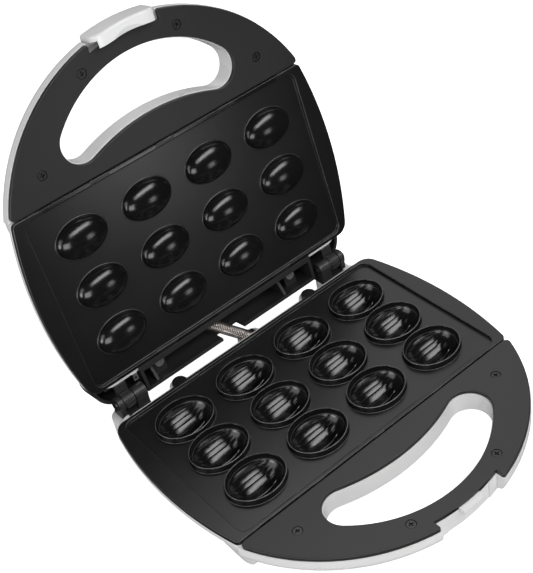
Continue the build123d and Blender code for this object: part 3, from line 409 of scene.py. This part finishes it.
def metal(name, dark, light, rough):
    """Bare metal with a fine drawn or rolled texture."""
    finish = Finish(name)
    sockets = {"Vector": finish.place(), "Scale": (1.0, 6.0, 6.0)}
    lines = finish.noise(scale=700.0, at=finish.add("ShaderNodeMapping", None, sockets))
    return finish.done(
        Base_Color=finish.tint(lines, dark, light),
        Roughness=rough + lines * 0.14,
        Metallic=1.0,
        Normal=finish.bump(lines, distance=0.00001),
    )


def soft_rubber():
    """Matte black rubber with a powdery bloom."""
    finish = Finish("soft_rubber")
    bloom = finish.noise(scale=260.0, detail=4.0)
    return finish.done(
        Base_Color=finish.tint(bloom, (0.02, 0.02, 0.02), (0.05, 0.05, 0.05)),
        Roughness=0.7 + bloom * 0.2,
        Normal=finish.bump(bloom, distance=0.00005, edge=0.0004),
    )


def clear_plastic(name, dark, light):
    """Tinted lens plastic under a clear coat."""
    finish = Finish(name)
    depth = finish.noise(scale=180.0, detail=2.0)
    return finish.done(
        Base_Color=finish.tint(depth, dark, light),
        Roughness=0.08 + depth * 0.05,
        Coat_Weight=0.6,
        Normal=finish.bump(depth, distance=0.00004, edge=0.0003),
    )


def plain_part(name, dark, light, rough):
    """Plain moulded or woven insulation."""
    finish = Finish(name)
    weave = finish.noise(scale=1100.0)
    return finish.done(
        Base_Color=finish.tint(weave, dark, light),
        Roughness=rough + weave * 0.15,
        Normal=finish.bump(weave, distance=0.00006),
    )


def put(name, data):
    """A new object in the scene."""
    made = bpy.data.objects.new(name, data)
    bpy.context.scene.collection.objects.link(made)
    return made


def smooth(mesh):
    """Shade every face of a mesh smooth."""
    for polygon in mesh.polygons:
        polygon.use_smooth = True


def winding(name, radius, thickness, turns, finish):
    """A wire of a thickness that winds round the conduit's axis at a radius."""
    path = COIL_END - COIL_START
    side = path.normalized().orthogonal().normalized()
    other = path.normalized().cross(side)
    curve = bpy.data.curves.new(name, "CURVE")
    curve.dimensions = "3D"
    curve.bevel_depth = thickness / 2
    curve.bevel_resolution = 2
    count = int(turns * STEPS_PER_TURN)
    spline = curve.splines.new("POLY")
    spline.points.add(count)
    for step in range(count + 1):
        part = step / count
        angle = 2 * math.pi * turns * part
        at = COIL_START + path * part + side * (radius * math.cos(angle)) + other * (radius * math.sin(angle))
        spline.points[step].co = (*at, 1.0)
    drawn = put(name + "_curve", curve)
    mesh = bpy.data.meshes.new_from_object(drawn.evaluated_get(bpy.context.evaluated_depsgraph_get()))
    mesh.name = name
    bpy.data.objects.remove(drawn)
    smooth(mesh)
    mesh.materials.clear()
    mesh.materials.append(finish)
    return put(name, mesh)


def join(name, pieces):
    """One mesh object from several of one finish."""
    merged = bmesh.new()
    for piece in pieces:
        merged.from_mesh(piece.data)
    mesh = bpy.data.meshes.new(name)
    merged.to_mesh(mesh)
    merged.free()
    mesh.materials.append(pieces[0].data.materials[0])
    for piece in pieces:
        bpy.data.objects.remove(piece)
    smooth(mesh)
    return put(name, mesh)


def direction(azimuth, elevation):
    """Unit vector at an azimuth, in degrees from +Y towards +X, and an elevation."""
    turn, rise = math.radians(azimuth), math.radians(elevation)
    return Vector((math.sin(turn) * math.cos(rise), math.cos(turn) * math.cos(rise), math.sin(rise)))


def softbox(name, aim, azimuth, elevation, distance, width, height, radiance):
    """A rectangular lamp that faces a point from an azimuth, an elevation and a distance."""
    lamp = bpy.data.lights.new(name, "AREA")
    lamp.shape = "RECTANGLE"
    lamp.size = width
    lamp.size_y = height
    lamp.energy = radiance * math.pi * width * height
    made = put(name, lamp)
    way = direction(azimuth, elevation)
    made.location = aim + way * distance
    made.rotation_euler = (-way).to_track_quat("-Z", "Y").to_euler()
    made.visible_camera = False
    return made


def background_rays(tree):
    """One for the rays that see the white background: from the camera, off gloss and through glass."""
    rays = tree.nodes.new("ShaderNodeLightPath").outputs
    seen = Signal(tree, rays["Is Camera Ray"])
    for kind in ("Is Glossy Ray", "Is Transmission Ray"):
        seen = seen.maths("MAXIMUM", Signal(tree, rays[kind]))
    return seen


def stage_piece(name, shape, material):
    """A mesh of the stage, which isn't part of the object."""
    mesh = bpy.data.meshes.new(name)
    shape.to_mesh(mesh)
    shape.free()
    mesh.materials.append(material)
    piece = put(name, mesh)
    return piece


def pale_floor():
    """The floor, lifted to white where it is background."""
    finish = Finish("pale_floor")
    soft = finish.noise(scale=3.0, detail=2.0)
    glow = finish.tint(background_rays(finish.tree), (0.0, 0.0, 0.0), (FLOOR_GLOW, FLOOR_GLOW, FLOOR_GLOW))
    finish.done(
        Base_Color=finish.tint(soft, (0.8, 0.8, 0.8), (0.84, 0.84, 0.84)),
        Roughness=0.9,
        Specular_IOR_Level=0.0,
        Emission_Color=glow,
        Emission_Strength=1.0,
    )
    sheet = bmesh.new()
    bmesh.ops.create_grid(sheet, x_segments=1, y_segments=1, size=FLOOR_HALF)
    stage_piece("floor", sheet, finish.material)


def dark_surround():
    """A dark room seen only in gloss, open behind the lid's right corner."""
    finish = Finish("black_cloth")
    folds = finish.noise(scale=2.0, detail=2.0)
    finish.done(
        Base_Color=finish.tint(folds, (0.004, 0.004, 0.004), (0.012, 0.012, 0.012)),
        Roughness=1.0,
        Specular_IOR_Level=0.0,
    )
    room = bmesh.new()
    bmesh.ops.create_uvsphere(room, u_segments=48, v_segments=24, radius=TENT_RADIUS)
    gap = direction(TENT_GAP_AZIMUTH, TENT_GAP_ELEVATION)
    bottom = Vector((0.0, 0.0, TENT_BOTTOM))
    for at, outwards in ((gap * TENT_GAP_DISTANCE, gap), (bottom, Vector((0.0, 0.0, -1.0)))):
        every = room.verts[:] + room.edges[:] + room.faces[:]
        bmesh.ops.bisect_plane(room, geom=every, plane_co=at, plane_no=outwards, clear_outer=True)
    level = Matrix.Translation(bottom)
    bmesh.ops.create_circle(room, cap_ends=True, segments=48, radius=TENT_RADIUS, matrix=level)
    piece = stage_piece("dark_surround", room, finish.material)
    for kind in ("camera", "diffuse", "transmission", "volume_scatter", "shadow"):
        setattr(piece, "visible_" + kind, False)


def softboxes():
    """Lamps that light the object, and cards that show only in gloss."""
    softbox("key_softbox", LID_MIDDLE, azimuth=168, elevation=47, distance=1.3,
            width=1.4, height=0.42, radiance=4.2)
    softbox("side_softbox", SIDE_AIM, azimuth=-93, elevation=9, distance=1.2,
            width=0.42, height=0.34, radiance=5.0)
    fill = softbox("front_fill", LID_MIDDLE, azimuth=-165, elevation=14, distance=1.6,
                   width=1.2, height=0.8, radiance=1.0)
    fill.visible_glossy = False
    cards = (
        softbox("key_card", LID_MIDDLE, azimuth=155, elevation=49, distance=1.28,
                width=1.3, height=0.36, radiance=3.0),
        softbox("front_card", LID_MIDDLE, azimuth=160, elevation=-4, distance=0.6,
                width=0.14, height=0.17, radiance=3.2),
        softbox("left_card", LID_MIDDLE, azimuth=-138, elevation=2, distance=0.9,
                width=0.42, height=0.4, radiance=5.0),
        softbox("side_card", NUTS_MIDDLE, azimuth=-86, elevation=19, distance=1.2,
                width=0.8, height=0.85, radiance=2.4),
        softbox("base_frame_card", NUTS_MIDDLE, azimuth=33, elevation=64, distance=1.2,
                width=0.3, height=0.25, radiance=4.4),
    )
    for card in cards:
        card.visible_diffuse = False


def studio():
    """Pale floor, dark surround, world and softboxes."""
    pale_floor()
    dark_surround()
    world = bpy.data.worlds.new("studio")
    world.use_nodes = True
    bpy.context.scene.world = world
    tree = world.node_tree
    background = tree.nodes["Background"]
    background.inputs["Color"].default_value = (1.0, 1.0, 1.0, 1.0)
    plug(tree, background.inputs["Strength"], background_rays(tree) * (1.0 - WORLD_LEVEL) + WORLD_LEVEL)
    softboxes()


def aim_camera():
    """The photograph's camera."""
    turn, rise, roll = (math.radians(v) for v in (CAMERA_AZIMUTH, CAMERA_ELEVATION, CAMERA_ROLL))
    back = Vector((math.sin(turn) * math.cos(rise), -math.cos(turn) * math.cos(rise), math.sin(rise)))
    level = Vector((math.cos(turn), math.sin(turn), 0.0))
    above = back.cross(level)
    right = level * math.cos(roll) + above * math.sin(roll)
    up = above * math.cos(roll) - level * math.sin(roll)
    lens = bpy.data.cameras.new("camera")
    lens.lens = FOCAL_PIXELS / PICTURE_HEIGHT * lens.sensor_width
    lens.clip_start = 0.01
    camera = put("camera", lens)
    camera.matrix_world = Matrix.Translation(CAMERA_AT) @ Matrix((right, up, back)).transposed().to_4x4()
    bpy.context.scene.camera = camera


def dress():
    """Give every CAD node its finish."""
    steel = metal("drawn_steel", (0.42, 0.41, 0.4), (0.62, 0.61, 0.6), 0.26)
    finishes = {
        "cover_white": white_moulding(),
        "frame_black": black_moulding(),
        "plate_black": plate_coating("plate_coating", False),
        "hinge_black": hinge_enamel(),
        "screw_dark": dark_screw(),
        "steel": steel,
        "coil_steel": steel,
        "reflector_sheet": metal("rolled_sheet", (0.6, 0.6, 0.6), (0.82, 0.82, 0.82), 0.18),
        "foot_rubber": soft_rubber(),
        "lens_red": clear_plastic("red_lens", (0.3, 0.01, 0.008), (0.55, 0.03, 0.02)),
        "lens_green": clear_plastic("green_lens", (0.01, 0.2, 0.04), (0.03, 0.42, 0.09)),
        "lamp_glass": clear_plastic("lamp_glass", (0.6, 0.5, 0.4), (0.8, 0.74, 0.66)),
        "part_grey": plain_part("grey_moulding", (0.07, 0.07, 0.07), (0.12, 0.12, 0.12), 0.45),
        "wire_insulation": plain_part("woven_sleeve", (0.6, 0.58, 0.52), (0.85, 0.83, 0.76), 0.7),
        "thermostat_case": metal("stamped_case", (0.45, 0.45, 0.45), (0.6, 0.6, 0.6), 0.3),
    }
    cup_coating = plate_coating("cup_plate_coating", True)
    slots = {row["node"]: row["material_slot"] for row in frame["record"]["subparts"]}
    for name, piece in frame["nodes"].items():
        piece.data.materials.clear()
        piece.data.materials.append(cup_coating if name == "lower_plate" else finishes[slots[name]])


def build_conduit():
    """The flexible conduit and its wires."""
    bright = metal("wound_steel", (0.62, 0.55, 0.52), (0.85, 0.78, 0.74), 0.3)
    turns = (COIL_END - COIL_START).length / COIL_PITCH
    coil = winding("conduit_winding", COIL_RADIUS, COIL_WIRE, turns, bright)
    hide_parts("conduit_coil")
    sleeve = plain_part("dark_sleeve", (0.012, 0.011, 0.01), (0.03, 0.027, 0.025), 0.6)
    wires = []
    for number in range(WIRE_COUNT):
        turns = WIRE_LEAST_TURNS + number / WIRE_COUNT
        wires.append(winding("wire_%d" % number, WIRE_OFFSET, WIRE_THICKNESS, turns, sleeve))
    loom = join("conduit_loom", wires)
    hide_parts("conduit_wires")
    for piece in (coil, loom):
        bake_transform(piece)


dress()
build_conduit()
studio()
aim_camera()

scene = bpy.context.scene
scene.view_settings.view_transform = "Standard"
